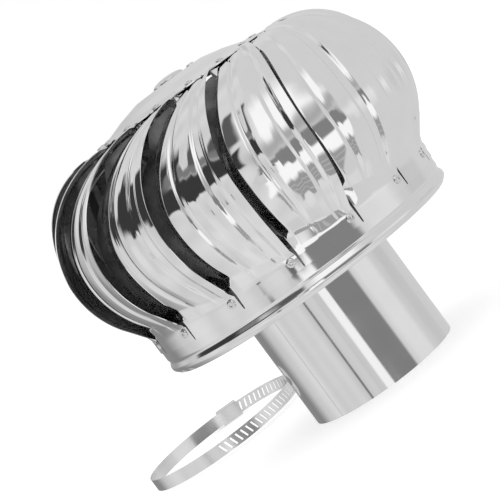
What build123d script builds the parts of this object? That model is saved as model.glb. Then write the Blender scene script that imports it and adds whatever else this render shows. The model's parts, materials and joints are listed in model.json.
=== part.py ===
from build123d import *
import math
import os

os.makedirs("parts", exist_ok=True)

# A roof turbine ventilator that stands on the open end of its spigot pipe.
# Millimetres and degrees. +Z is the spin axis, up, and z = 0 is the pipe's open end.
# Angles round the spin axis start at the front, which is -Y, and grow towards +X.

# Spigot pipe
PIPE_R = 50.0
PIPE_WALL = 0.6
PIPE_LENGTH = 98.0
PIPE_FLARE = 2.0
STOP_DROP = 21.0
STOP_RISE = 1.0
STOP_HALF_WIDTH = 1.6
SEAM_ANGLE = -43.0
SEAM_WIDTH = 0.8
SEAM_DEPTH = 0.2

# Bracket across the pipe that carries the axle
ARM_COUNT = 3
ARM_WIDTH = 12.0
ARM_SHEET = 1.6
ARM_DROP = 6.0
ARM_TAB = 14.0
HUB_R = 14.0
BRACKET_RIVET_DROP = 6.5

# Axle, its nuts and washers
AXLE_R = 4.0
NUT_FLATS = 13.0
NUT_HEIGHT = 6.5
WASHER_R = 8.0
WASHER_THICK = 1.6
THREAD_END = 2.0
SLIP = 0.05

# Ball bearings, one high and one low on the axle
RACE_R = 11.0
RACE_WIDTH = 7.0
INNER_LAND_R = 6.2
OUTER_LAND_R = 8.8
BALL_R = 2.0
BALL_COUNT = 7
BALL_PLAY = 0.08
CAGE_HALF_WIDTH = 0.75
CAGE_BOTTOM = 0.5
CAGE_TOP = 2.7
BEARING_DROP = 21.3
BEARING_SPACING = 35.0

# Bearing housing under the cap
HOUSING_WALL = 1.8
HOUSING_RIB = 1.4
HOUSING_END = 4.0
FLANGE_R = 20.5
FLANGE_THICK = 1.5
RING_THICK = 1.2
RING_GRIP = 0.7

# Skirt ring with its rolled rim, and the coned floor with its inner lip
SHEET = 0.6
SKIRT_R = 101.0
SKIRT_HEIGHT = 29.2
HEAD_DROP = 22.2
RIM_PROUD = 0.8
RIM_TURN = 9.0
RIM_ROUND = 3.0
GROOVE_RISE = 8.4
GROOVE_DEPTH = 0.8
RUNNING_GAP = 4.5
LIP_RISE = 9.6
LIP_BEND = 3.0
FLOOR_RISE = 6.0
FLOOR_LAP = 4.5

# Top cap, its plug and the ring under the vane tops
CAP_R = 63.6
CAP_GAP = 0.1
BRIM_WIDTH = 14.0
BRIM_RISE = 2.2
SHOULDER_WIDTH = 11.6
SHOULDER_RISE = 6.0
CROWN_R = 24.0
CROWN_RISE = 9.2
CAP_BEND = 12.0
CAP_HOLE_R = 6.0
PLUG_R = 10.6
PLUG_HEIGHT = 3.2
PLUG_EDGE = 0.6
PLUG_STEM = 3.0
PLUG_WALL = 1.5
PLUG_LIP = 0.5
TOP_RING_WIDTH = 8.0

# Head, an upper and a lower quarter ellipse that meet at the widest level
VANE_COUNT = 15
VANE_SHEET = 0.5
HEAD_R = 123.9
UPPER_HEIGHT = 60.0
LOWER_HEIGHT = 56.0
TOP_CLIMB = 90.0
FOLD_CLIMB = -50.0

# Vane: how far its free edge sweeps, how wide it is and how deep its other edge is tucked in
EDGE_ANGLE = -2.0
TOP_SWEEP_ANGLE = 22.0
FOOT_SWEEP_ANGLE = 1.0
SPAN_ANGLE = 24.5
FOOT_SPAN_ANGLE = 22.8
TOP_SPAN_ANGLE = 22.8
TUCK = 9.4
TUCK_EXPONENT = 0.35
TUCK_END_CLIMB = 93.0

# Pressed pattern across the vane, from the tucked edge to the free edge
BEVEL_WIDTH = 9.0
BEVEL_DROP = 4.5
FLANGE_WIDTH = 9.6
FLANGE_RISE = 0.9
STEP_DEPTH = 0.5
PANEL_WIDTH = 19.4
PANEL_CROWN = 0.9
GROOVE_WIDTH = 8.0
GROOVE_DROP = 1.1
BAND_WIDTH = 6.3
BAND_RISE = 0.5
WALL_RUN = 1.2

# Tab at the foot of the vane, flat on the skirt, and tab at its top, under the cap
SLIT_ANGLE = 0.1
SLIT_BOTTOM_ANGLE = 0.5
SLIT_TOP_ANGLE = 0.9
TAB_RISE = 16.2
TAB_FLAT = 9.2
TAB_BEND = 7.3
FOLD_PROUD = 2.8
FOLD_STEP = 1.5
FOLD_DROP = 0.6
FOLD_FALL = 0.2
FOLD_PRESS = 0.35
NECK_OUT = 1.4
NECK_STEP = 3.9
NECK_TUCK = 2.4
NECK_PRESS = 0.5
TONGUE_IN = 2.6
TONGUE_LENGTH = 9.0

# Blind rivets
RIVET_R = 1.6
RIVET_HEAD_R = 2.75
RIVET_HEAD_TOP_R = 1.9
RIVET_HEAD = 1.2
RIVET_TAIL_R = 2.1
RIVET_TAIL = 1.8
MANDREL_R = 0.8
RIVET_PLAY = 0.1
TAB_GAP = 0.2
SEAT_GAP = 0.05
SKIRT_RIVET_ANGLE = -2.9
SKIRT_RIVET_RISE = 6.3
CAP_RIVET_IN = 6.6
CROWN_RIVET_REACH = 16.0
CROWN_RIVETS = 3

# Hose clamp that lies beside the ventilator
CLAMP_X = -113.0
CLAMP_Y = 160.0
CLAMP_BORE_R = 59.3
STRAP_SHEET = 0.7
STRAP_WIDTH = 9.0
STRAP_LIFT = 1.5
SLOT_COUNT = 40
SLOT_LENGTH = 6.4
SLOT_WIDTH = 1.3
SLOT_SLANT = 20.0
SLOT_FIRST_ANGLE = 74.0
SLOT_LAST_ANGLE = -92.0
TAIL_START_ANGLE = 76.0
TAIL_ARC_ANGLE = 24.0
SADDLE_LENGTH = 16.0
SADDLE_WIDTH = 12.0
SADDLE_WALL = 1.0
SADDLE_ANGLE = 84.0
SCREW_R = 3.1
SCREW_PLAY = 0.35
SCREW_HEAD = 6.0
SCREW_HEAD_FLATS = 7.0
SCREW_SLOT = 1.1

# Worked out from the sizes above
PIPE_BORE_R = PIPE_R - PIPE_WALL
STOP_Z = PIPE_LENGTH - STOP_DROP
SEAM_TOP = STOP_Z - STOP_HALF_WIDTH
ARM_TOP = PIPE_LENGTH - ARM_DROP
BRACKET_RIVET_Z = ARM_TOP - BRACKET_RIVET_DROP
ARM_ANGLES = [SEAM_ANGLE + step * 360 / ARM_COUNT for step in range(ARM_COUNT)]

LIP_R = PIPE_R + RUNNING_GAP
RIM_R = SKIRT_R + RIM_PROUD
RIM_BOTTOM = PIPE_LENGTH - HEAD_DROP
SKIRT_TOP = RIM_BOTTOM + SKIRT_HEIGHT
GROOVE_Z = RIM_BOTTOM + GROOVE_RISE
LIP_TOP = RIM_BOTTOM + LIP_RISE

VANE_PITCH = 360 / VANE_COUNT
TAB_FACE = SKIRT_R + TAB_GAP + VANE_SHEET
TAB_BOTTOM = RIM_BOTTOM + TAB_RISE
TAB_FLAT_TOP = TAB_BOTTOM + TAB_FLAT
SKIRT_RIVET_Z = TAB_BOTTOM + SKIRT_RIVET_RISE
FOLD_Z = TAB_FLAT_TOP + TAB_BEND
FOLD_R = SKIRT_R + FOLD_PROUD
FOLD_COS = math.cos(math.radians(FOLD_CLIMB))
FOLD_SIN = math.sin(math.radians(FOLD_CLIMB))
LOWER_WIDTH = (HEAD_R - FOLD_R - FOLD_STEP) / (1 - FOLD_COS)
WAIST_Z = FOLD_Z + FOLD_DROP - LOWER_HEIGHT * FOLD_SIN
NECK_REACH = CAP_R + NECK_OUT
TONGUE_REACH = CAP_R - TONGUE_IN
TONGUE_END = TONGUE_REACH - TONGUE_LENGTH
CAP_RIVET_REACH = CAP_R - CAP_RIVET_IN
UPPER_WIDTH = HEAD_R - NECK_REACH - NECK_STEP

CAP_EDGE_Z = WAIST_Z + UPPER_HEIGHT + CAP_GAP
BRIM_R = CAP_R - BRIM_WIDTH
BRIM_SLOPE = BRIM_RISE / BRIM_WIDTH
BRIM_TILT = math.degrees(math.atan(BRIM_SLOPE))
SHOULDER_R = BRIM_R - SHOULDER_WIDTH
SHOULDER_Z = CAP_EDGE_Z + SHOULDER_RISE
CROWN_Z = CAP_EDGE_Z + CROWN_RISE
FLANGE_TOP = CROWN_Z - SHEET

BALL_PITCH_R = (INNER_LAND_R + OUTER_LAND_R) / 2
HOUSING_R = RACE_R + HOUSING_WALL
HOUSING_RIB_R = RACE_R - HOUSING_RIB
UPPER_BEARING_Z = CROWN_Z - BEARING_DROP
LOWER_BEARING_Z = UPPER_BEARING_Z - BEARING_SPACING
TOP_WASHER_Z = UPPER_BEARING_Z + RACE_WIDTH
TOP_NUT_Z = TOP_WASHER_Z + WASHER_THICK
AXLE_TOP = TOP_NUT_Z + NUT_HEIGHT + THREAD_END
AXLE_BOTTOM = ARM_TOP - ARM_SHEET - WASHER_THICK - NUT_HEIGHT - THREAD_END

STRAP_R = CLAMP_BORE_R + STRAP_SHEET
SCREW_AXIS_R = STRAP_R + STRAP_SHEET + SCREW_PLAY + SCREW_R
STRAP_MIDDLE = STRAP_LIFT + STRAP_WIDTH / 2


def spot(radius, angle, height):
    """A point at this radius, angle and height round the spin axis."""
    turn = math.radians(angle)
    return Vector(radius * math.sin(turn), -radius * math.cos(turn), height)


def outward(angle):
    """The horizontal direction away from the spin axis at this angle."""
    return spot(1, angle, 0)


def turned(shape, angle):
    """The shape turned round the spin axis."""
    return shape.rotate(Axis.Z, angle)


def spun(outline):
    """The solid that this closed outline of radius and height sweeps round the spin axis."""
    return revolve(Plane.XZ * make_face(Polyline(*outline, close=True)), Axis.Z)


def spun_sheet(path, side, wall=SHEET, bend=0.7):
    """A spun shell: one face follows the path, and the wall lies on the given side of it."""
    section = offset(FilletPolyline(*path, radius=bend), amount=wall, side=side)
    return revolve(Plane.XZ * make_face(section.edges()), Axis.Z)


def tube(outer, inner, bottom, top):
    """A plain ring round the spin axis."""
    return spun([(inner, bottom), (outer, bottom), (outer, top), (inner, top)])


def group(solids):
    """Separate solids that share one node."""
    return Compound(list(solids))


def save(name, shape):
    """Writes one node."""
    export_step(shape, f"parts/{name}.step")


def blind_rivet(grip):
    """A set blind rivet along +Z: the sheets' face is at 0, the tail below the grip."""
    seat = SEAT_GAP
    tail = -grip - SEAT_GAP
    outline = [
        (0, tail - RIVET_TAIL),
        (RIVET_TAIL_R, tail - RIVET_TAIL),
        (RIVET_TAIL_R, tail),
        (RIVET_R, tail),
        (RIVET_R, seat),
        (RIVET_HEAD_R, seat),
        (RIVET_HEAD_R, seat + RIVET_HEAD * 0.3),
        (RIVET_HEAD_TOP_R, seat + RIVET_HEAD),
        (MANDREL_R, seat + RIVET_HEAD),
        (MANDREL_R, 0),
        (0, 0),
    ]
    return spun(outline)


def placed(shape, point, direction):
    """The shape moved so that its origin is at the point and its +Z along the direction."""
    return Plane(origin=point, z_dir=direction) * shape


def rivet_hole(point, direction, depth=6):
    """The cutter for a rivet's hole, centred on the point."""
    return placed(Cylinder(RIVET_R + RIVET_PLAY, depth), point, direction)


def spigot_pipe():
    """The pipe, open at both ends, with a stop bead, a flared top and a fine lengthwise seam."""
    path = [
        (PIPE_R, 0),
        (PIPE_R, STOP_Z - STOP_HALF_WIDTH),
        (PIPE_R + STOP_RISE, STOP_Z),
        (PIPE_R, STOP_Z + STOP_HALF_WIDTH),
        (PIPE_R, PIPE_LENGTH - 2 * PIPE_FLARE),
        (PIPE_R + PIPE_FLARE, PIPE_LENGTH - PIPE_FLARE),
        (PIPE_R + PIPE_FLARE, PIPE_LENGTH),
    ]
    pipe = spun_sheet(path, Side.LEFT, wall=PIPE_WALL)
    groove = Pos(0, 0, SEAM_TOP / 2) * Box(SEAM_WIDTH, 2 * SEAM_DEPTH, SEAM_TOP)
    pipe -= turned(Pos(0, -PIPE_R, 0) * groove, SEAM_ANGLE)
    for angle in ARM_ANGLES:
        pipe -= rivet_hole(spot(PIPE_R, angle, BRACKET_RIVET_Z), outward(angle))
    return pipe


def axle_bracket():
    """Three arms on a hub plate, each bent down into a tab against the pipe's bore."""
    bracket = Pos(0, 0, ARM_TOP - ARM_SHEET / 2) * Cylinder(HUB_R, ARM_SHEET)
    path = FilletPolyline(
        (0, ARM_TOP),
        (PIPE_BORE_R, ARM_TOP),
        (PIPE_BORE_R, ARM_TOP - ARM_TAB),
        radius=ARM_SHEET * 1.5,
    )
    strip = make_face(offset(path, amount=ARM_SHEET, side=Side.RIGHT).edges())
    arm = extrude(Plane.YZ * strip, ARM_WIDTH / 2, both=True)
    for angle in ARM_ANGLES:
        bracket += turned(arm, angle + 180)
    bracket &= Pos(0, 0, ARM_TOP) * Cylinder(PIPE_BORE_R, 3 * ARM_TAB)
    for angle in ARM_ANGLES:
        bracket -= rivet_hole(spot(PIPE_BORE_R, angle, BRACKET_RIVET_Z), outward(angle))
    return bracket - Pos(0, 0, ARM_TOP) * Cylinder(AXLE_R + SLIP, 3 * ARM_SHEET)


def bracket_rivets():
    """One rivet through each tab, with its head outside the pipe."""
    rivet = blind_rivet(PIPE_WALL + ARM_SHEET)
    return group(
        placed(rivet, spot(PIPE_R, angle, BRACKET_RIVET_Z), outward(angle))
        for angle in ARM_ANGLES
    )


def axle():
    """The fixed axle, chamfered at both ends."""
    rod = Pos(0, 0, (AXLE_BOTTOM + AXLE_TOP) / 2) * Cylinder(AXLE_R, AXLE_TOP - AXLE_BOTTOM)
    return chamfer(rod.edges().filter_by(GeomType.CIRCLE), AXLE_R * 0.2)


def nut(bottom):
    """A hexagon nut on the axle."""
    hexagon = RegularPolygon(NUT_FLATS / 2, 6, major_radius=False) - Circle(AXLE_R + SLIP)
    return Pos(0, 0, bottom) * extrude(hexagon, NUT_HEIGHT)


def bracket_nuts():
    """The two nuts that hold the axle in the bracket, above and below it."""
    below = nut(AXLE_BOTTOM + THREAD_END)
    above = nut(ARM_TOP + WASHER_THICK)
    return group([below, above])


def bracket_washers():
    """The washers under the bracket's nuts."""
    below = ARM_TOP - ARM_SHEET - WASHER_THICK
    return group(
        tube(WASHER_R, AXLE_R + SLIP, bottom, bottom + WASHER_THICK) for bottom in (below, ARM_TOP)
    )


def inner_race(bottom):
    """The inner ring of a ball bearing, with its raceway."""
    middle = bottom + RACE_WIDTH / 2
    track = Pos(0, 0, middle) * Torus(BALL_PITCH_R, BALL_R + BALL_PLAY)
    return tube(INNER_LAND_R, AXLE_R, bottom, bottom + RACE_WIDTH) - track


def outer_race(bottom):
    """The outer ring of a ball bearing, with its raceway."""
    middle = bottom + RACE_WIDTH / 2
    track = Pos(0, 0, middle) * Torus(BALL_PITCH_R, BALL_R + BALL_PLAY)
    return tube(RACE_R, OUTER_LAND_R, bottom, bottom + RACE_WIDTH) - track


def ball_places(bottom):
    """The centres of a bearing's balls."""
    middle = bottom + RACE_WIDTH / 2
    return [spot(BALL_PITCH_R, step * 360 / BALL_COUNT, middle) for step in range(BALL_COUNT)]


def balls(bottom):
    """The balls of one bearing."""
    return group(Pos(*place) * Sphere(BALL_R) for place in ball_places(bottom))


def cage(bottom):
    """The crown cage of one bearing, which snaps over the balls from above."""
    middle = bottom + RACE_WIDTH / 2
    crown = tube(
        BALL_PITCH_R + CAGE_HALF_WIDTH,
        BALL_PITCH_R - CAGE_HALF_WIDTH,
        middle + CAGE_BOTTOM,
        middle + CAGE_TOP,
    )
    for place in ball_places(bottom):
        crown -= Pos(*place) * Sphere(BALL_R + SLIP)
    return crown


def bearing_housing():
    """The flanged tube under the cap, with a rib between its two bearing seats."""
    bottom = LOWER_BEARING_Z - HOUSING_END
    seat = LOWER_BEARING_Z + RACE_WIDTH
    outline = [
        (RACE_R, bottom),
        (HOUSING_R, bottom),
        (HOUSING_R, FLANGE_TOP - FLANGE_THICK),
        (FLANGE_R, FLANGE_TOP - FLANGE_THICK),
        (FLANGE_R, FLANGE_TOP),
        (RACE_R, FLANGE_TOP),
        (RACE_R, UPPER_BEARING_Z),
        (HOUSING_RIB_R, UPPER_BEARING_Z),
        (HOUSING_RIB_R, seat),
        (RACE_R, seat),
        (RACE_R, LOWER_BEARING_Z),
        (RACE_R + RING_GRIP, LOWER_BEARING_Z),
        (RACE_R + RING_GRIP, LOWER_BEARING_Z - RING_THICK),
        (RACE_R, LOWER_BEARING_Z - RING_THICK),
    ]
    housing = spun(outline)
    for step in range(CROWN_RIVETS):
        housing -= rivet_hole(crown_rivet_place(step), (0, 0, 1))
    return housing


def retaining_ring():
    """The split ring in the housing's groove, which keeps the lower bearing up."""
    ring = tube(RACE_R + RING_GRIP, OUTER_LAND_R + SLIP, LOWER_BEARING_Z - RING_THICK, LOWER_BEARING_Z)
    return ring - Pos(0, -RACE_R, LOWER_BEARING_Z) * Box(RACE_R / 2, RACE_R, 3 * RING_THICK)


def brim_height(radius):
    """The height of the brim's top face at this radius."""
    return CAP_EDGE_Z + (CAP_R - radius) * BRIM_SLOPE


def tongue_height(radius):
    """The height of the vane tops' upper face, close under the brim."""
    return brim_height(radius) - SHEET - RIVET_PLAY


def crown_rivet_place(step):
    """Where a rivet through the cap's crown sits."""
    return spot(CROWN_RIVET_REACH, 90 + step * 360 / CROWN_RIVETS, CROWN_Z)


def tongue_middle():
    """The angle of the middle of the front vane's top tab."""
    return EDGE_ANGLE + TOP_SWEEP_ANGLE - TOP_SPAN_ANGLE / 2


def cap_rivet_place(step):
    """Where a rivet through the brim and a vane's top sits."""
    angle = tongue_middle() + step * VANE_PITCH
    return spot(CAP_RIVET_REACH, angle, brim_height(CAP_RIVET_REACH))


def cap_rivet_direction(step):
    """The brim's normal at a rivet."""
    angle = tongue_middle() + step * VANE_PITCH
    lean = outward(angle) * math.sin(math.radians(BRIM_TILT))
    return lean + Vector(0, 0, math.cos(math.radians(BRIM_TILT)))


def top_cap():
    """The spun cap: a flat crown, a sloping shoulder and a shallow brim."""
    path = [
        (CAP_R, CAP_EDGE_Z),
        (BRIM_R, CAP_EDGE_Z + BRIM_RISE),
        (SHOULDER_R, SHOULDER_Z),
        (CROWN_R, CROWN_Z),
        (CAP_HOLE_R, CROWN_Z),
    ]
    cap = spun_sheet(path, Side.LEFT, bend=CAP_BEND)
    for step in range(VANE_COUNT):
        cap -= rivet_hole(cap_rivet_place(step), cap_rivet_direction(step))
    for step in range(CROWN_RIVETS):
        cap -= rivet_hole(crown_rivet_place(step), (0, 0, 1))
    return cap


def cap_plug():
    """The domed plug over the axle's end, with a stem that snaps through the cap."""
    arc = ThreePointArc(
        (0, CROWN_Z + PLUG_HEIGHT),
        (PLUG_R * 0.6, CROWN_Z + PLUG_EDGE + (PLUG_HEIGHT - PLUG_EDGE) * 0.68),
        (PLUG_R, CROWN_Z + PLUG_EDGE),
    )
    lip = CAP_HOLE_R + PLUG_LIP
    under = Polyline(
        (PLUG_R, CROWN_Z + PLUG_EDGE),
        (PLUG_R, CROWN_Z),
        (CAP_HOLE_R - SLIP, CROWN_Z),
        (CAP_HOLE_R - SLIP, CROWN_Z - SHEET - SLIP),
        (lip, CROWN_Z - SHEET - SLIP),
        (CAP_HOLE_R - SLIP, CROWN_Z - PLUG_STEM),
        (CAP_HOLE_R - PLUG_WALL, CROWN_Z - PLUG_STEM),
        (CAP_HOLE_R - PLUG_WALL, CROWN_Z + PLUG_EDGE),
        (0, CROWN_Z + PLUG_EDGE),
        (0, CROWN_Z + PLUG_HEIGHT),
    )
    return revolve(Plane.XZ * make_face(arc.edges() + under.edges()), Axis.Z)


def top_ring():
    """The flat ring under the vane tops that the cap's rivets clamp them to."""
    drop = VANE_SHEET + RIVET_PLAY
    outer = CAP_RIVET_REACH + TOP_RING_WIDTH / 2
    inner = CAP_RIVET_REACH - TOP_RING_WIDTH / 2
    ring = spun([
        (inner, tongue_height(inner) - drop),
        (outer, tongue_height(outer) - drop),
        (outer, tongue_height(outer) - drop - SHEET),
        (inner, tongue_height(inner) - drop - SHEET),
    ])
    for step in range(VANE_COUNT):
        ring -= rivet_hole(cap_rivet_place(step), cap_rivet_direction(step))
    return ring


def cap_rivets():
    """One rivet for each vane top, through the brim, the vane and the ring."""
    rivet = blind_rivet(2 * SHEET + VANE_SHEET + 2 * RIVET_PLAY)
    return group(
        placed(rivet, cap_rivet_place(step), cap_rivet_direction(step)) for step in range(VANE_COUNT)
    )


def crown_rivets():
    """The rivets that hang the bearing housing from the cap."""
    rivet = blind_rivet(SHEET + FLANGE_THICK)
    return group(placed(rivet, crown_rivet_place(step), (0, 0, 1)) for step in range(CROWN_RIVETS))


def skirt_rivet_place(step):
    """Where a rivet through a vane's foot and the skirt sits."""
    return spot(TAB_FACE, SKIRT_RIVET_ANGLE + step * VANE_PITCH, SKIRT_RIVET_Z)


def skirt_ring():
    """The skirt: a band with a groove, whose lower edge is rolled in to a flat rim."""
    path = [
        (SKIRT_R, SKIRT_TOP),
        (SKIRT_R, GROOVE_Z + 2 * GROOVE_DEPTH),
        (SKIRT_R - GROOVE_DEPTH, GROOVE_Z),
        (RIM_R, GROOVE_Z - RIM_ROUND),
        (RIM_R, RIM_BOTTOM + RIM_ROUND),
        (RIM_R - RIM_ROUND, RIM_BOTTOM),
        (RIM_R - RIM_TURN, RIM_BOTTOM),
    ]
    skirt = spun_sheet(path, Side.RIGHT)
    for step in range(VANE_COUNT):
        angle = SKIRT_RIVET_ANGLE + step * VANE_PITCH
        skirt -= rivet_hole(skirt_rivet_place(step), outward(angle))
    return skirt


def skirt_floor():
    """The coned floor that lies on the rim and ends in a lip round the pipe."""
    seat = RIM_BOTTOM + SHEET + SEAT_GAP
    path = [
        (RIM_R - FLOOR_LAP, seat),
        (RIM_R - RIM_TURN - SHEET, seat),
        (LIP_R + LIP_BEND, RIM_BOTTOM + FLOOR_RISE),
        (LIP_R, RIM_BOTTOM + FLOOR_RISE + LIP_BEND / 2),
        (LIP_R, LIP_TOP),
    ]
    return spun_sheet(path, Side.RIGHT)


def skirt_rivets():
    """One rivet for each vane's foot."""
    rivet = blind_rivet(VANE_SHEET + SHEET + TAB_GAP)
    return group(
        placed(rivet, skirt_rivet_place(step), outward(SKIRT_RIVET_ANGLE + step * VANE_PITCH))
        for step in range(VANE_COUNT)
    )


def pressed_outline():
    """How far the vane stands proud of its base, from the tucked edge (0) to the free edge (1)."""
    panel = BEVEL_WIDTH + FLANGE_WIDTH
    groove = panel + PANEL_WIDTH
    band = groove + GROOVE_WIDTH
    width = band + BAND_WIDTH
    marks = [
        (0, -BEVEL_DROP),
        (BEVEL_WIDTH, FLANGE_RISE),
        (panel, FLANGE_RISE),
        (panel + WALL_RUN, -STEP_DEPTH),
        (panel + PANEL_WIDTH / 2, PANEL_CROWN),
        (groove, 0),
        (groove + WALL_RUN, -GROOVE_DROP),
        (band - WALL_RUN, -GROOVE_DROP),
        (band, BAND_RISE),
        (width, BAND_RISE),
    ]
    return [(place / width, proud) for place, proud in marks]


def vane_angle(across, climb):
    """The angle of a point this far across the front vane, at this ellipse angle."""
    if climb > 0:
        rise = climb / TOP_CLIMB
        sweep = TOP_SWEEP_ANGLE * rise ** 2
        span = SPAN_ANGLE - (SPAN_ANGLE - TOP_SPAN_ANGLE) * rise ** 4
    else:
        rise = climb / FOLD_CLIMB
        sweep = FOOT_SWEEP_ANGLE * rise ** 2
        span = SPAN_ANGLE - (SPAN_ANGLE - FOOT_SPAN_ANGLE) * rise ** 2
    return EDGE_ANGLE + sweep - span * (1 - across)


def tuck_depth(climb):
    """How deep the vane's tucked edge lies under the head's outline at this ellipse angle."""
    rise = (climb - FOLD_CLIMB) / (TUCK_END_CLIMB - FOLD_CLIMB)
    return TUCK * math.sin(math.pi * rise) ** TUCK_EXPONENT


def head_section(climb):
    """A closed section of the vane at one ellipse angle, square to the head's outline."""
    wide, tall = (UPPER_WIDTH, UPPER_HEIGHT) if climb > 0 else (LOWER_WIDTH, LOWER_HEIGHT)
    lift = math.radians(climb)
    radius = HEAD_R - wide * (1 - math.cos(lift))
    height = WAIST_Z + tall * math.sin(lift)
    normal = Vector(math.cos(lift) / wide, math.sin(lift) / tall, 0).normalized()

    def point(across, proud):
        out = proud - tuck_depth(climb) * (1 - across)
        return spot(radius + out * normal.X, vane_angle(across, climb), height + out * normal.Y)

    return section_wire(point, 1)


def section_wire(point, press):
    """The closed wire of a vane section: the outer face, then the inner face back."""
    outline = pressed_outline()
    outer = [point(across, proud * press) for across, proud in outline]
    inner = [point(across, proud * press - VANE_SHEET) for across, proud in reversed(outline)]
    return Wire.make_polygon(outer + inner, close=True)


def foot_angle(across, slit):
    """The angle of a point across the vane's foot, with a slit this wide beside the next foot."""
    return SLIT_ANGLE - slit / 2 - (VANE_PITCH - slit) * (1 - across)


def foot_section(height, face, slit):
    """A level section of the tab on the skirt."""

    def point(across, proud):
        return spot(face + proud, foot_angle(across, slit), height)

    return section_wire(point, 0)


def fold_section():
    """The section along the fold above the tab, which falls towards the free edge."""
    along = outward(vane_angle(0.5, FOLD_CLIMB) + 90)

    def point(across, proud):
        place = spot(FOLD_R + proud, vane_angle(across, FOLD_CLIMB), FOLD_Z)
        return place - Vector(0, 0, FOLD_FALL * place.dot(along))

    return section_wire(point, FOLD_PRESS)


def tongue_section(reach, tuck, press):
    """An upright section of the vane's top, this far from the spin axis along its middle."""
    middle = tongue_middle()

    def point(across, proud):
        side = (across - 0.5) * 2 * reach * math.tan(math.radians(TOP_SPAN_ANGLE / 2))
        place = outward(middle) * reach + outward(middle + 90) * side
        radius = place.length
        return place + Vector(0, 0, tongue_height(radius) + proud - tuck * (1 - across))

    return section_wire(point, press)


def front_vane():
    """The vane at the front: foot, blade and top tab, lofted and joined into one sheet."""
    fold = fold_section()
    neck = tongue_section(NECK_REACH, NECK_TUCK, NECK_PRESS)
    climbs = [-40, -28, -14, 0, 15, 30, 45, 58, 70, 80, 88]
    blade = Solid.make_loft([fold] + [head_section(climb) for climb in climbs] + [neck])
    tab = [
        foot_section(TAB_BOTTOM, TAB_FACE, SLIT_BOTTOM_ANGLE),
        foot_section(TAB_FLAT_TOP, TAB_FACE, SLIT_TOP_ANGLE),
    ]
    foot = Solid.make_loft(tab + [fold], ruled=True)
    tongue = Solid.make_loft(
        [neck, tongue_section(TONGUE_REACH, 0, 0), tongue_section(TONGUE_END, 0, 0)],
        ruled=True,
    )
    vane = blade + foot + tongue
    vane -= rivet_hole(skirt_rivet_place(0), outward(SKIRT_RIVET_ANGLE))
    return vane - rivet_hole(cap_rivet_place(0), cap_rivet_direction(0))


def ring_sector(outer, inner, start, arc):
    """A flat sector of a ring round the clamp's own axis, from one angle over an arc."""
    ring = Circle(outer) - Circle(inner)
    reach = 2 * outer
    corners = [
        (reach * math.cos(math.radians(turn)), reach * math.sin(math.radians(turn)))
        for turn in (start, start + arc / 2, start + arc)
    ]
    return ring & make_face(Polyline((0, 0), *corners, close=True))


def clamp_band():
    """The clamp's band, with its slanted slots and the tail that passes under the screw."""
    band = extrude(Circle(STRAP_R) - Circle(CLAMP_BORE_R), STRAP_WIDTH)
    tail = ring_sector(STRAP_R + STRAP_SHEET, STRAP_R, TAIL_START_ANGLE, TAIL_ARC_ANGLE)
    band += extrude(tail, STRAP_WIDTH)
    slot = Rot(SLOT_SLANT, 0, 0) * Box(4 * STRAP_SHEET, SLOT_WIDTH, SLOT_LENGTH)
    for step in range(SLOT_COUNT):
        turn = SLOT_FIRST_ANGLE + (SLOT_LAST_ANGLE - SLOT_FIRST_ANGLE) * step / (SLOT_COUNT - 1)
        band -= Rot(0, 0, turn) * Pos(STRAP_R, 0, STRAP_WIDTH / 2) * slot
    return Pos(CLAMP_X, CLAMP_Y, STRAP_LIFT) * band


def clamp_place():
    """The frame of the clamp's screw: +X away from the clamp's axis, +Y along the screw."""
    return Pos(CLAMP_X, CLAMP_Y, STRAP_MIDDLE) * Rot(0, 0, SADDLE_ANGLE) * Pos(SCREW_AXIS_R, 0, 0)


def clamp_saddle():
    """The housing that holds the screw over the band, with a leg down each edge of the band."""
    leg_end = CLAMP_BORE_R + SLIP - SCREW_AXIS_R
    bore_r = SCREW_R + SCREW_PLAY
    outer_r = bore_r + SADDLE_WALL
    block = Cylinder(outer_r, SADDLE_LENGTH, rotation=(90, 0, 0))
    base = Box(-leg_end, SADDLE_LENGTH, SADDLE_WIDTH, align=(Align.MIN, Align.CENTER, Align.CENTER))
    block += Pos(leg_end, 0, 0) * base
    block -= Cylinder(bore_r, 2 * SADDLE_LENGTH, rotation=(90, 0, 0))
    passage = Cylinder(STRAP_R + STRAP_SHEET + SLIP, STRAP_WIDTH + 2 * SLIP)
    return clamp_place() * (block - Pos(-SCREW_AXIS_R, 0, 0) * passage)


def clamp_screw():
    """The worm screw: a plain shank, a neck and a slotted hexagon head."""
    half = SADDLE_LENGTH / 2
    shank = Cylinder(SCREW_R, SADDLE_LENGTH, rotation=(90, 0, 0))
    head = extrude(RegularPolygon(SCREW_HEAD_FLATS / 2, 6, major_radius=False), SCREW_HEAD)
    head -= Pos(0, 0, SCREW_HEAD) * Box(2 * SCREW_HEAD_FLATS, SCREW_SLOT, SCREW_HEAD / 2)
    screw = shank + Pos(0, half + SCREW_PLAY, 0) * Rot(-90, 0, 0) * head
    screw += Pos(0, half, 0) * Cylinder(SCREW_R * 0.7, 2, rotation=(90, 0, 0))
    return clamp_place() * screw


def spacer():
    """The sleeve between the inner races."""
    return tube(INNER_LAND_R, AXLE_R + SLIP, LOWER_BEARING_Z + RACE_WIDTH, UPPER_BEARING_Z)


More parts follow.
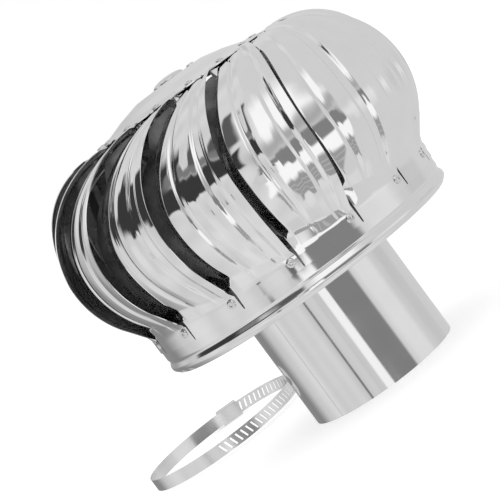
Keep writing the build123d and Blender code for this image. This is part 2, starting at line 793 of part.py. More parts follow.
save("spigot_pipe", spigot_pipe())
save("axle_bracket", axle_bracket())
save("bracket_rivets", bracket_rivets())
save("axle", axle())
save("bracket_nuts", bracket_nuts())
save("bracket_washers", bracket_washers())
save("lower_bearing_nut", nut(LOWER_BEARING_Z - NUT_HEIGHT))
save("bearing_spacer", spacer())
save("top_washer", tube(INNER_LAND_R, AXLE_R + SLIP, TOP_WASHER_Z, TOP_NUT_Z))
save("top_nut", nut(TOP_NUT_Z))
for place, bottom in (("lower", LOWER_BEARING_Z), ("upper", UPPER_BEARING_Z)):
    save(f"{place}_inner_race", inner_race(bottom))
    save(f"{place}_outer_race", outer_race(bottom))
    save(f"{place}_balls", balls(bottom))
    save(f"{place}_ball_cage", cage(bottom))
save("bearing_housing", bearing_housing())
save("retaining_ring", retaining_ring())
save("skirt_ring", skirt_ring())
save("skirt_floor", skirt_floor())
save("skirt_rivets", skirt_rivets())
save("top_ring", top_ring())
save("top_cap", top_cap())
save("cap_rivets", cap_rivets())
save("crown_rivets", crown_rivets())
save("cap_plug", cap_plug())
vane = front_vane()
for step in range(VANE_COUNT):
    save(f"vane_{step + 1:02d}", turned(vane, step * VANE_PITCH))
save("clamp_band", clamp_band())
save("clamp_saddle", clamp_saddle())
save("clamp_screw", clamp_screw())
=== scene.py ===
"""The looks of the roof turbine ventilator: bright sheet steel, rivets and a loose hose clamp."""

import json
import math

import bpy
from mathutils import Matrix, Vector

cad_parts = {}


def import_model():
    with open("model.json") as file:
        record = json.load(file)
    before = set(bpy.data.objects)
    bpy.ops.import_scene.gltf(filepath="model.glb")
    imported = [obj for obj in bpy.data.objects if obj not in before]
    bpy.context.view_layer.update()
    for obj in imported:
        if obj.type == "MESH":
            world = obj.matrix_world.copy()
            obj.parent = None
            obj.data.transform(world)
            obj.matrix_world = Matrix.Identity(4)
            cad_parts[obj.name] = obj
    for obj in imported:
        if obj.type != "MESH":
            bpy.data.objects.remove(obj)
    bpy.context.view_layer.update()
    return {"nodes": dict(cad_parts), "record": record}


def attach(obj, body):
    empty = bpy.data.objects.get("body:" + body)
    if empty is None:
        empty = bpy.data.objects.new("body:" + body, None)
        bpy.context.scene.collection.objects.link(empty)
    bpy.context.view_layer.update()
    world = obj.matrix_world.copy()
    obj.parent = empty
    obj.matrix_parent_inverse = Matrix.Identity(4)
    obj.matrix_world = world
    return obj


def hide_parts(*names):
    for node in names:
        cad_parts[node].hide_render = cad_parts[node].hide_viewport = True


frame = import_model()

MM = 0.001

# Camera, fitted to the pipe's end, the rim, the rivets and the cap in the photograph
CAMERA_DISTANCE = 1.210
CAMERA_HEIGHT = 0.205
CAMERA_YAW = math.radians(-0.99)
CAMERA_PITCH = math.radians(4.50)
CAMERA_ROLL = math.radians(36.35)
CAMERA_LENS = 143.8
CAMERA_SENSOR = 36
CAMERA_CLIP_START = 0.05
CAMERA_CLIP_END = 50

# Studio as bright metal sees it: each flag is its left and right azimuth, its lowest and highest
# elevation, how soft its edges are, all in degrees, and how bright it is. Where two overlap, the
# later one covers the earlier. Their edges sway by a few degrees, and the room's level a little,
# with a soft noise
ROOM_LEVEL = 0.70
FLAGS = [
    (-116, -72, 19, 56, 4, 0.04),
    (-78, -15, 13, 33, 1.5, 0.04),
    (-78, -22, 33, 45, 3, 0.2),
    (-34, -16, 40, 76, 3, 0.1),
    (-178, -118, -40, 10, 20, 0.25),
    (46, 176, -60, 90, 10, 0.66),
    (52, 84, -14, -2, 6, 0.80),
    (98, 122, -14, -2, 6, 0.60),
    (-5, 45, 22, 60, 8, 1.0),
    (-12, 48, 3, 18, 7, 0.42),
    (-12, 48, -15, 2, 2, 0.23),
    (-12, 50, -30, -16, 1.5, 1.0),
    (-8, 50, -54, -32, 1.5, 0.34),
    (-8, 50, -38, -37, 0.5, 0.5),
    (-8, 50, -43, -42, 0.5, 0.5),
    (-8, 50, -48, -47, 0.5, 0.5),
    (-13, -7, -17, -4, 1, 0.64),
    (-7.5, 3, -17, -4, 1, 1.0),
    (-11.5, -8, -6.3, -4, 0.6, 0.12),
    (-35, -29, -12, -7, 0.8, 0.2),
]
SWAY = 15.0
SWAY_SCALE = 3.2
ROOM_SWAY = 0.24

# Floor: its diffuse colour, the light it adds for the camera alone, and its paper's fibres
FLOOR_COLOUR = 0.8
FLOOR_LIFT = 0.42
FLOOR_REACH = 20
FIBRE_SCALE = 60.0
FIBRE_DETAIL = 3.0
FIBRE_SHADE = 0.99

# Sheet steel: clouds that carry the smudges and patches, soft waves and a rolled grain. Scales are
# per metre; the pairs are the stretch of the cloud's noise that is used
CLOUD_SCALE = 38.0
CLOUD_DETAIL = 4.0
CLOUD_ROUGHNESS = 0.6
SMUDGE_SPAN = (0.35, 0.75)
PATCH_SPAN = (0.3, 0.7)
PATCHY = 0.04
WAVE_DETAIL = 1.0
GRAIN_SCALE = 1800.0
GRAIN_DETAIL = 2.0
GRAIN_STRETCH = (1, 1, 0.02)

# Metals by slot, with the vanes' inner faces and their hidden strips last, both darker for painted
# shade: waves and grain are in millimetres of height, and wave sizes are scales per metre
METALS = {
    "pipe_steel": dict(colour=0.90, roughness=0.06, smudge=0.05, wave=0.2, wave_size=14),
    "head_steel": dict(colour=0.92, roughness=0.05, smudge=0.05, wave=0.4, wave_size=20),
    "vane_steel": dict(colour=0.94, roughness=0.03, smudge=0.05, wave=1.2, wave_size=16),
    "cap_steel": dict(colour=0.94, roughness=0.06, smudge=0.06, wave=0.4, wave_size=14),
    "plug_steel": dict(colour=0.85, roughness=0.10, smudge=0.08),
    "bracket_steel": dict(colour=0.62, roughness=0.28, smudge=0.1, grain=0.004),
    "ring_steel": dict(colour=0.60, roughness=0.25, smudge=0.1),
    "rivet_steel": dict(colour=0.85, roughness=0.12, smudge=0.1),
    "axle_steel": dict(colour=0.55, roughness=0.2, smudge=0.1),
    "nut_steel": dict(colour=0.62, roughness=0.25, smudge=0.1),
    "bearing_steel": dict(colour=0.66, roughness=0.12, smudge=0.08),
    "cage_brass": dict(colour=0.7, roughness=0.2, smudge=0.1, tint=(1.0, 0.78, 0.40)),
    "housing_aluminium": dict(colour=0.7, roughness=0.25, smudge=0.08),
    "clamp_steel": dict(colour=0.92, roughness=0.15, smudge=0.1, wave=0.2, wave_size=40),
    "screw_steel": dict(colour=0.78, roughness=0.18, smudge=0.1),
    # Inner faces darker than the outer steel: painted shade
    "vane_inside_shade": dict(
        colour=0.62, roughness=0.16, smudge=0.3, wave=2.0, wave_size=45, metallic=0.7, patchy=0.6
    ),
    # Hidden strips under the next vane and the skirt under the tabs, dark: painted shade
    "vane_underlap_shade": dict(colour=0.28, roughness=0.25, smudge=0.2, metallic=0.3, patchy=0.85),
}

# Head, in millimetres and degrees, as in the CAD
VANE_COUNT = 15
VANE_PITCH = 360 / VANE_COUNT
VANE_SHEET = 0.5
HEAD_R = 123.9
WAIST_Z = 152.0
UPPER_WIDTH = 55.0
UPPER_HEIGHT = 60.0
LOWER_HEIGHT = 56.0
TOP_CLIMB = 90.0
FOLD_CLIMB = -50.0
EDGE_ANGLE = -2.0
TOP_SWEEP_ANGLE = 22.0
FOOT_SWEEP_ANGLE = 1.0
SPAN_ANGLE = 24.5
FOOT_SPAN_ANGLE = 22.8
TOP_SPAN_ANGLE = 22.8
TUCK = 9.4
TUCK_EXPONENT = 0.35
TUCK_END_CLIMB = 93.0

# Strip that runs on from a vane's tucked edge under the next vane, and its rise near the top. Only
# the scene has it; on the tab and the tongue it shrinks to a sliver
UNDERLAP_ANGLE = 6.0
UNDERLAP_COLUMNS = 6
FLAP_CLIMB = 58.0
FLAP_RUN = 14.0
FLAP_DEPTH = 3.8
STRIP_SLIVER = 0.001

# Pressed pattern across a vane, from its tucked edge to its free edge. The CAD's bevel is 9.0 wide
# and its flange 9.6
BEVEL_WIDTH = 6.4
BEVEL_DROP = 4.5
FLANGE_WIDTH = 12.2
FLANGE_RISE = 0.9
STEP_DEPTH = 0.5
PANEL_WIDTH = 19.4
PANEL_CROWN = 0.9
PANEL_RISE_SHARE = 0.8
PANEL_FALL_SHARE = 0.75
GROOVE_WIDTH = 8.0
GROOVE_DROP = 1.1
BAND_WIDTH = 6.3
BAND_RISE = 0.5
WALL_RUN = 1.2
PRESS_ROUND = 0.7
PRESS_TAPS = 9

# Foot tab and top tab of a vane
SKIRT_R = 101.0
TAB_PLAY = 0.2
TAB_FACE = SKIRT_R + TAB_PLAY + VANE_SHEET
SLIT_ANGLE = 0.1
SLIT_BOTTOM_ANGLE = 0.5
SLIT_TOP_ANGLE = 0.9
TAB_BOTTOM = 92.0
TAB_FLAT_TOP = 101.2
FOLD_Z = 108.5
FOLD_OUT = 2.8
FOLD_R = SKIRT_R + FOLD_OUT
FOLD_FALL = 0.2
FOLD_PRESS = 0.35
FOLD_STEP = 1.5
LOWER_WIDTH = (HEAD_R - FOLD_R - FOLD_STEP) / (1 - math.cos(math.radians(FOLD_CLIMB)))
BLADE_START = -40
BLADE_END = 88
NECK_REACH = 65.0
NECK_TUCK = 2.4
NECK_PRESS = 0.5
NECK_UNDERLAP = 0.12
TONGUE_REACH = 61.0
TONGUE_END = 52.0

# Columns across a vane, steps between rows of points up each of its parts, and the places of its
# second and third material
COLUMNS = 72
TAB_ROWS = 4
TAB_FOLD_ROWS = 5
FOLD_BLADE_ROWS = 6
BLADE_ROWS = 64
BLADE_NECK_ROWS = 4
NECK_ROWS = 4
TONGUE_ROWS = 3
INSIDE_INDEX = 1
HIDDEN_INDEX = 2

# Sheet of the skirt, the cap and its plug
SHEET = 0.6
SKIRT_TOP = 105.0
SKIRT_BEND = 2.2
SKIRT_COVER = 0.3
SKIRT_COVERED_Z = TAB_BOTTOM + SKIRT_COVER
RIM_BOTTOM = 75.8
RIM_R = 101.8
RIM_ROUND = 3.0
RIM_TURN = 9.0
GROOVE_Z = 84.2
GROOVE_DEPTH = 0.8
CAP_R = 63.6
CAP_EDGE_Z = 212.1
BRIM_R = 49.6
BRIM_RISE = 2.2
BRIM_SLOPE = BRIM_RISE / (CAP_R - BRIM_R)
SHOULDER_R = 38.0
SHOULDER_Z = 218.1
CROWN_R = 24.0
CROWN_Z = 221.3
CAP_BEND = 12.0
CAP_HOLE_R = 6.0
PLUG_R = 10.6
PLUG_HEIGHT = 3.2
PLUG_EDGE = 0.6
PLUG_STEM = 3.0
PLUG_STEM_WALL = 1.5
PLUG_CENTRE_R = 0.05
PLUG_STEPS = 12

# Pipe
PIPE_R = 50.0
PIPE_WALL = 0.6
PIPE_LENGTH = 98.0
PIPE_FLARE = 2.0
PIPE_BEND = 0.7
STOP_Z = 77.0
STOP_RISE = 1.0
STOP_HALF_WIDTH = 1.6
SEAM_ANGLE = -43.0
SEAM_WIDTH = 0.8
SEAM_DEPTH = 0.2
SEAM_FINE_ANGLE = 0.8
SEAM_STEPS = 6

# Blind rivets, the curve of a head as shares of its radius and height, and the heights of the
# hole's edge and floor and of the mandrel in it as shares of the head's height
RIVET_R = 1.6
RIVET_HEAD_R = 2.75
RIVET_HEAD = 1.2
BRIM_RIVET_HEAD = 0.75
RIVET_HOLE_R = 1.1
MANDREL_R = 0.8
HEAD_CURVE = [(1, 0.3), (0.9, 0.68), (0.74, 0.95), (0.56, 1)]
HOLE_EDGE = 0.9
HOLE_FLOOR = 0.25
MANDREL_EDGE = 0.6
MANDREL_TIP = 0.65
RIVET_SIDES = 32
RIVET_TAIL_R = 2.1
RIVET_TAIL = 1.8
TAIL_END_SHARE = 0.7
TAIL_SIDE_SHARE = 0.6
RIVET_SEAT = 0.05
RIVET_PLAY = 0.1
SKIRT_RIVET_ANGLE = -2.9
SKIRT_RIVET_Z = 98.3
SKIRT_GRIP = 1.3
CAP_RIVET_REACH = 57.0
CAP_GRIP = 1.9
CROWN_RIVET_REACH = 16.0
CROWN_RIVETS = 3
CROWN_RIVET_ANGLE = 90
CROWN_GRIP = 2.1

# Hose clamp
CLAMP_X = -113.0
CLAMP_Y = 160.0
CLAMP_BORE_R = 59.3
STRAP_SHEET = 0.7
STRAP_WIDTH = 9.0
STRAP_LIFT = 1.5
SADDLE_LENGTH = 16.0
SADDLE_WIDTH = 12.0
SADDLE_WALL = 1.0
SADDLE_ANGLE = 84.0
SADDLE_EDGE = 0.3
SADDLE_SHOULDER = 1.2
SHOULDER_DROP_SHARE = 0.3
SHOULDER_RUN_SHARE = 0.6
ARCH_ANGLE = 78
ARCH_STEPS = 16
BORE_ANGLE = 170
BORE_STEPS = 24
SADDLE_GROOVE = 0.4
SADDLE_GROOVE_FROM = 3.0
SADDLE_GROOVE_TO = 5.6
SCREW_R = 3.1
SCREW_PLAY = 0.35
SLIP = 0.05

# Steps round the spin axis and along an arc, and the longest share of a line that an arc takes
SPIN_STEPS = 288
ARC_STEPS = 8
ARC_REACH = 0.48


def spot(radius, angle, height):
    """A point in metres, from its radius, angle and height round the spin axis in millimetres."""
    turn = math.radians(angle)
    return Vector((radius * math.sin(turn), -radius * math.cos(turn), height)) * MM


def outward(angle):
    """The horizontal direction away from the spin axis at this angle."""
    turn = math.radians(angle)
    return Vector((math.sin(turn), -math.cos(turn), 0))


def new_piece(name, points, faces, material, sharp_angle=40):
    """A mesh object with smooth faces and sharp edges above this angle."""
    mesh = bpy.data.meshes.new(name)
    mesh.from_pydata([tuple(point) for point in points], [], faces)
    mesh.validate()
    mesh.shade_smooth()
    mesh.set_sharp_from_angle(angle=math.radians(sharp_angle))
    mesh.materials.append(material)
    piece = bpy.data.objects.new(name, mesh)
    bpy.context.scene.collection.objects.link(piece)
    return piece


def grid_faces(rows, columns, close_columns=False, start=0, flip=False):
    """Quads over a grid of points, row by row."""
    faces = []
    last = columns if close_columns else columns - 1
    for row in range(rows - 1):
        for column in range(last):
            right = (column + 1) % columns
            a = start + row * columns + column
            b = start + row * columns + right
            c = start + (row + 1) * columns + right
            d = start + (row + 1) * columns + column
            faces.append((d, c, b, a) if flip else (a, b, c, d))
    return faces


def smooth_step(value):
    """0 below 0, 1 above 1 and a soft rise between."""
    value = min(max(value, 0), 1)
    return value * value * (3 - 2 * value)


def mix(first, second, share):
    """A value between two others."""
    return first + (second - first) * share


# Node materials


def node(tree, kind, **settings):
    """A shader node with these settings, and values for its named inputs."""
    made = tree.nodes.new(kind)
    for name, value in settings.items():
        if name in made.inputs:
            made.inputs[name].default_value = value
        else:
            setattr(made, name, value)
    return made


def ranged(tree, value, from_span, to_span=(0, 1), **settings):
    """A shader value with one span of it mapped to another."""
    made = node(tree, "ShaderNodeMapRange", **settings)
    for name, span in (("From", from_span), ("To", to_span)):
        made.inputs[f"{name} Min"].default_value = span[0]
        made.inputs[f"{name} Max"].default_value = span[1]
    tree.links.new(value, made.inputs["Value"])
    return made.outputs["Result"]


def bumped(tree, height, reach, normal):
    """The normal with a bump of this reach in millimetres, over another normal if there is one."""
    made = node(tree, "ShaderNodeBump", Strength=1.0, Distance=reach * MM)
    tree.links.new(height, made.inputs["Height"])
    if normal:
        tree.links.new(normal, made.inputs["Normal"])
    return made.outputs["Normal"]


def steel(
    name,
    colour,
    roughness,
    smudge,
    wave=0.0,
    wave_size=20,
    grain=0.0,
    tint=(1, 1, 1),
    metallic=1.0,
    patchy=PATCHY,
):
    """Sheet metal with smudges and darker patches and, if wanted, soft waves and a rolled grain."""
    material = bpy.data.materials.new(name)
    material.use_nodes = True
    tree = material.node_tree
    shader = tree.nodes["Principled BSDF"]
    shader.inputs["Metallic"].default_value = metallic
    link = tree.links.new
    place = node(tree, "ShaderNodeTexCoord").outputs["Object"]

    cloud = node(
        tree, "ShaderNodeTexNoise", Scale=CLOUD_SCALE, Detail=CLOUD_DETAIL, Roughness=CLOUD_ROUGHNESS
    )
    link(place, cloud.inputs["Vector"])
    rough = ranged(tree, cloud.outputs["Fac"], SMUDGE_SPAN, (roughness, roughness + smudge))
    link(rough, shader.inputs["Roughness"])

    tone = ranged(tree, cloud.outputs["Fac"], PATCH_SPAN, (colour * (1 - patchy), colour))
    paint = node(tree, "ShaderNodeCombineColor")
    for channel, share in zip(("Red", "Green", "Blue"), tint):
        scaled = node(tree, "ShaderNodeMath", operation="MULTIPLY")
        scaled.inputs[1].default_value = share
        link(tone, scaled.inputs[0])
        link(scaled.outputs["Value"], paint.inputs[channel])
    link(paint.outputs["Color"], shader.inputs["Base Color"])

    normal = None
    if grain:
        stretch = node(tree, "ShaderNodeMapping")
        stretch.inputs["Scale"].default_value = GRAIN_STRETCH
        link(place, stretch.inputs["Vector"])
        streaks = node(tree, "ShaderNodeTexNoise", Scale=GRAIN_SCALE, Detail=GRAIN_DETAIL)
        link(stretch.outputs["Vector"], streaks.inputs["Vector"])
        normal = bumped(tree, streaks.outputs["Fac"], grain, normal)
    if wave:
        swell = node(tree, "ShaderNodeTexNoise", Scale=float(wave_size), Detail=WAVE_DETAIL)
        link(place, swell.inputs["Vector"])
        normal = bumped(tree, swell.outputs["Fac"], wave, normal)
    if normal:
        link(normal, shader.inputs["Normal"])
    return material


# Vanes


def pressed_marks():
    """Places across the vane with how far the sheet stands proud there, in millimetres."""
    panel = BEVEL_WIDTH + FLANGE_WIDTH
    groove = panel + PANEL_WIDTH
    band = groove + GROOVE_WIDTH
    width = band + BAND_WIDTH
    bevel_slope = (FLANGE_RISE + BEVEL_DROP) / BEVEL_WIDTH
    marks = [
        (-WALL_RUN, -BEVEL_DROP - bevel_slope * WALL_RUN),
        (BEVEL_WIDTH, FLANGE_RISE),
        (panel, FLANGE_RISE),
        (panel + WALL_RUN, -STEP_DEPTH),
        (panel + PANEL_WIDTH / 4, mix(-STEP_DEPTH, PANEL_CROWN, PANEL_RISE_SHARE)),
        (panel + PANEL_WIDTH / 2, PANEL_CROWN),
        (panel + PANEL_WIDTH * 3 / 4, PANEL_CROWN * PANEL_FALL_SHARE),
        (groove, 0),
        (groove + WALL_RUN, -GROOVE_DROP),
        (band - WALL_RUN, -GROOVE_DROP),
        (band, BAND_RISE),
        (width + WALL_RUN, BAND_RISE),
    ]
    return marks, width


def proud_at(place, marks):
    """How far the sheet stands proud at this place, on straight lines between the marks."""
    for (left, low), (right, high) in zip(marks, marks[1:]):
        if place <= right:
            return mix(low, high, (place - left) / (right - left))
    return marks[-1][1]


def pressed_profile():
    """Each column's share across the vane and its rounded height, with the hidden strip first."""
    marks, width = pressed_marks()
    shifts = [PRESS_ROUND * (2 * tap / (PRESS_TAPS - 1) - 1) for tap in range(PRESS_TAPS)]
    profile = []
    for column in range(COLUMNS + 1):
        share = column / COLUMNS
        heights = [proud_at(share * width + shift, marks) for shift in shifts]
        profile.append((share, sum(heights) / PRESS_TAPS))
    deepest = profile[0][1]
    underlap = [(step / UNDERLAP_COLUMNS - 1, deepest) for step in range(UNDERLAP_COLUMNS)]
    return underlap + profile


def blade_share(across):
    """The share across the vane, with the hidden strip's negative shares drawn in to a sliver."""
    return max(across, across * STRIP_SLIVER)


def vane_angle(across, climb):
    """The angle of a point this far across the front vane, at this ellipse angle."""
    if climb > 0:
        rise = climb / TOP_CLIMB
        sweep = TOP_SWEEP_ANGLE * rise ** 2
        span = SPAN_ANGLE - (SPAN_ANGLE - TOP_SPAN_ANGLE) * rise ** 4
    else:
        rise = climb / FOLD_CLIMB
        sweep = FOOT_SWEEP_ANGLE * rise ** 2
        span = SPAN_ANGLE - (SPAN_ANGLE - FOOT_SPAN_ANGLE) * rise ** 2
    return EDGE_ANGLE + sweep - span * (1 - across)


def tuck_depth(climb):
    """How deep the vane's tucked edge lies under the head's outline at this ellipse angle."""
    rise = (climb - FOLD_CLIMB) / (TUCK_END_CLIMB - FOLD_CLIMB)
    return TUCK * math.sin(math.pi * rise) ** TUCK_EXPONENT


def underlap_angle(climb):
    """How far the hidden strip runs on under the next vane at this ellipse angle."""
    rise = (climb - FOLD_CLIMB) / (TUCK_END_CLIMB - FOLD_CLIMB)
    return UNDERLAP_ANGLE * math.sin(math.pi * rise) ** TUCK_EXPONENT


def blade_point(across, proud, climb):
    """A point on the blade, whose hidden strip rises towards the next vane near the top."""
    wide, tall = (UPPER_WIDTH, UPPER_HEIGHT) if climb > 0 else (LOWER_WIDTH, LOWER_HEIGHT)
    lift = math.radians(climb)
    radius = HEAD_R - wide * (1 - math.cos(lift))
    height = WAIST_Z + tall * math.sin(lift)
    normal = Vector((math.cos(lift) / wide, math.sin(lift) / tall)).normalized()
    hidden = max(-across, 0)
    across = max(across, 0)
    angle = vane_angle(across, climb) - hidden * underlap_angle(climb)
    out = proud - tuck_depth(climb) * (1 - across)
    out = mix(out, -FLAP_DEPTH, hidden * smooth_step((climb - FLAP_CLIMB) / FLAP_RUN))
    return spot(radius + out * normal.x, angle, height + out * normal.y)


def tab_point(across, height, slit):
    """A point on the tab that lies on the skirt, with slits of this angle between the tabs."""
    angle = SLIT_ANGLE - slit / 2 - (VANE_PITCH - slit) * (1 - blade_share(across))
    return spot(TAB_FACE, angle, height)


def fold_point(across, proud):
    """A point on the fold above the tab, which falls towards the free edge."""
    along = outward(vane_angle(0.5, FOLD_CLIMB) + 90)
    place = spot(FOLD_R + proud * FOLD_PRESS, vane_angle(blade_share(across), FOLD_CLIMB), FOLD_Z)
    return place - Vector((0, 0, FOLD_FALL * place.dot(along)))


def brim_height(radius):
    """The height of the brim's top face at this radius."""
    return CAP_EDGE_Z + (CAP_R - radius) * BRIM_SLOPE


def tongue_middle():
    """The angle of the middle of the front vane's top tab."""
    return EDGE_ANGLE + TOP_SWEEP_ANGLE - TOP_SPAN_ANGLE / 2


def tongue_point(across, proud, reach, tuck, press):
    """A point on the vane's top, this far from the spin axis along its middle."""
    across = max(across, across * mix(STRIP_SLIVER, NECK_UNDERLAP, tuck / NECK_TUCK))
    middle = tongue_middle()
    side = (across - 0.5) * 2 * reach * math.tan(math.radians(TOP_SPAN_ANGLE / 2))
    place = outward(middle) * reach + outward(middle + 90) * side
    height = brim_height(place.length) - SHEET - RIVET_PLAY
    return (place + Vector((0, 0, height + proud * press - tuck * (1 - across)))) * MM


def rows_between(first, second, steps):
    """The rows at equal steps between two rows, without either."""

    def blend(share):
        return lambda across, proud: first(across, proud).lerp(second(across, proud), share)

    return [blend(step / steps) for step in range(1, steps)]


def vane_rows():
    """One function of (across, proud) for each row of points up the vane."""

    def tab(share):
        height = mix(TAB_BOTTOM, TAB_FLAT_TOP, share)
        slit = mix(SLIT_BOTTOM_ANGLE, SLIT_TOP_ANGLE, share)
        return lambda across, proud: tab_point(across, height, slit)

    def blade(share):
        climb = mix(BLADE_START, BLADE_END, share)
        return lambda across, proud: blade_point(across, proud, climb)

    def neck(share):
        reach = mix(NECK_REACH, TONGUE_REACH, share)
        tuck = mix(NECK_TUCK, 0, share)
        press = NECK_PRESS * (1 - share)
        return lambda across, proud: tongue_point(across, proud, reach, tuck, press)

    def tongue(share):
        reach = mix(TONGUE_REACH, TONGUE_END, share)
        return lambda across, proud: tongue_point(across, 0, reach, 0, 0)

    rows = [tab(step / TAB_ROWS) for step in range(TAB_ROWS + 1)]
    rows += rows_between(tab(1), fold_point, TAB_FOLD_ROWS)
    rows.append(fold_point)
    rows += rows_between(fold_point, blade(0), FOLD_BLADE_ROWS)
    rows += [blade(step / BLADE_ROWS) for step in range(BLADE_ROWS + 1)]
    rows += rows_between(blade(1), neck(0), BLADE_NECK_ROWS)
    rows += [neck(step / NECK_ROWS) for step in range(NECK_ROWS + 1)]
    rows += [tongue(step / TONGUE_ROWS) for step in range(1, TONGUE_ROWS + 1)]
    return rows


def vane_mesh(material, inside, hidden):
    """The front vane as a closed sheet, painted shade on its inner faces and hidden strip."""
    profile = pressed_profile()
    rows = vane_rows()
    outer = [row(share, proud) for row in rows for share, proud in profile]
    columns = len(profile)
    inner = []
    for index, point in enumerate(outer):
        row, column = divmod(index, columns)
        left = outer[index - 1] if column else point
        right = outer[index + 1] if column < columns - 1 else point
        below = outer[index - columns] if row else point
        above = outer[index + columns] if row < len(rows) - 1 else point
        normal = (right - left).cross(above - below).normalized()
        inner.append(point - normal * VANE_SHEET * MM)
    faces = grid_faces(len(rows), columns)
    faces += grid_faces(len(rows), columns, start=len(outer), flip=True)
    border = list(range(columns))
    border += [row * columns + columns - 1 for row in range(1, len(rows))]
    border += [(len(rows) - 1) * columns + column for column in range(columns - 2, -1, -1)]
    border += [row * columns for row in range(len(rows) - 2, 0, -1)]
    for first, second in zip(border, border[1:] + border[:1]):
        faces.append((second, first, first + len(outer), second + len(outer)))
    piece = new_piece("vane_sheet_01", outer + inner, faces, material)
    piece.data.materials.append(inside)
    piece.data.materials.append(hidden)
    # Painted shade: darker steel on the inner faces and on the strip under the next vane
    for face in piece.data.polygons:
        if all(corner % columns <= UNDERLAP_COLUMNS for corner in face.vertices):
            face.material_index = HIDDEN_INDEX
        elif min(face.vertices) >= len(outer):
            face.material_index = INSIDE_INDEX
    return piece


def vanes(material, inside, hidden):
    """All vanes, each in its own place round the head."""
    first = vane_mesh(material, inside, hidden)
    pieces = [first]
    for step in range(1, VANE_COUNT):
        mesh = first.data.copy()
        mesh.transform(Matrix.Rotation(math.radians(step * VANE_PITCH), 4, "Z"))
        piece = bpy.data.objects.new(f"vane_sheet_{step + 1:02d}", mesh)
        bpy.context.scene.collection.objects.link(piece)
        pieces.append(piece)
    for step, piece in enumerate(pieces):
        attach(piece, "head")
        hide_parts(f"vane_{step + 1:02d}")


# Spun sheets: the pipe, the skirt, the cap and its plug


def rounded(corners, bend):
    """A line of (radius, height) past the corners, with an arc of at most this radius at each."""
    corners = [Vector(corner) for corner in corners]
    path = [corners[0]]
    for before, corner, after in zip(corners, corners[1:], corners[2:]):
        back = before - corner
        ahead = after - corner
        turn = math.pi - back.angle(ahead)
        reach = min(bend * math.tan(turn / 2), ARC_REACH * back.length, ARC_REACH * ahead.length)
        first = corner + back.normalized() * reach
        last = corner + ahead.normalized() * reach
        for step in range(ARC_STEPS + 1):
            share = step / ARC_STEPS
            path.append(first.lerp(corner, share).lerp(corner.lerp(last, share), share))
    return path + [corners[-1]]


def sheet_section(path, wall):
    """The closed outline of a sheet that has one face on the path, with its wall to the left."""
    other = []
    for index, point in enumerate(path):
        before = path[max(index - 1, 0)]
        after = path[min(index + 1, len(path) - 1)]
        along = (after - before).normalized()
        other.append(point + Vector((-along.y, along.x)) * wall)
    return path + other[::-1]


def spin_angles(finer=None):
    """Angles round the spin axis, closer together round the one that is given."""
    angles = {round(step * 360 / SPIN_STEPS, 3) for step in range(SPIN_STEPS)}
    if finer is not None:
        steps = range(-SEAM_STEPS, SEAM_STEPS + 1)
        angles |= {round((finer + step * SEAM_FINE_ANGLE / SEAM_STEPS) % 360, 3) for step in steps}
    return sorted(angles)


def spun_piece(name, section, material, angles=None, shift=None):
    """The piece that this closed section sweeps round the spin axis; shift adds to its radius."""
    angles = angles or spin_angles()
    points = []
    for angle in angles:
        for radius, height in section:
            out = shift(angle, radius, height) if shift else 0
            points.append(spot(radius + out, angle, height))
    count = len(section)
    faces = []
    for turn in range(len(angles)):
        near = turn * count
        far = (turn + 1) % len(angles) * count
        for column in range(count):
            right = (column + 1) % count
            faces.append((near + column, far + column, far + right, near + right))
    return new_piece(name, points, faces, material)


def stand_in(piece, body, node_name):
    """Makes the piece ride a body in the place of a CAD node."""
    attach(piece, body)
    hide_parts(node_name)


def spigot_pipe(material):
    """The pipe with its stop bead, its flared top and its fine seam."""
    corners = [
        (PIPE_R, 0),
        (PIPE_R, STOP_Z - STOP_HALF_WIDTH),
        (PIPE_R + STOP_RISE, STOP_Z),
        (PIPE_R, STOP_Z + STOP_HALF_WIDTH),
        (PIPE_R, PIPE_LENGTH - 2 * PIPE_FLARE),
        (PIPE_R + PIPE_FLARE, PIPE_LENGTH - PIPE_FLARE),
        (PIPE_R + PIPE_FLARE, PIPE_LENGTH),
    ]
    section = sheet_section(rounded(corners, PIPE_BEND), PIPE_WALL)
    seam = SEAM_ANGLE % 360

    def shift(angle, radius, height):
        across = math.radians(angle - seam) * PIPE_R / SEAM_WIDTH
        if radius < PIPE_R - PIPE_WALL / 2 or height > STOP_Z - STOP_HALF_WIDTH:
            return 0
        return -SEAM_DEPTH * max(1 - (2 * across) ** 2, 0)

    pipe = spun_piece("pipe_sheet", section, material, spin_angles(seam), shift)
    stand_in(pipe, "base", "spigot_pipe")


def skirt(material, covered_shade):
    """The skirt band with its groove and rolled rim, with painted shade under the vanes' tabs."""
    corners = [
        (SKIRT_R, SKIRT_TOP),
        (SKIRT_R, SKIRT_COVERED_Z),
        (SKIRT_R, GROOVE_Z + 2 * GROOVE_DEPTH),
        (SKIRT_R - GROOVE_DEPTH, GROOVE_Z),
        (RIM_R, GROOVE_Z - RIM_ROUND),
        (RIM_R, RIM_BOTTOM + RIM_ROUND),
        (RIM_R - RIM_ROUND, RIM_BOTTOM),
        (RIM_R - RIM_TURN, RIM_BOTTOM),
    ]
    section = sheet_section(rounded(corners, SKIRT_BEND), -SHEET)
    band = spun_piece("skirt_sheet", section, material)
    band.data.materials.append(covered_shade)
    # Painted shade on the faces that the vanes' tabs cover
    for face in band.data.polygons:
        if face.center.z > SKIRT_COVERED_Z * MM:
            face.material_index = 1
    stand_in(band, "head", "skirt_ring")


def cap(material):
    """The spun cap."""
    corners = [
        (CAP_R, CAP_EDGE_Z),
        (BRIM_R, CAP_EDGE_Z + BRIM_RISE),
        (SHOULDER_R, SHOULDER_Z),
        (CROWN_R, CROWN_Z),
        (CAP_HOLE_R, CROWN_Z),
    ]
    section = sheet_section(rounded(corners, CAP_BEND), SHEET)
    stand_in(spun_piece("cap_sheet", section, material), "head", "top_cap")


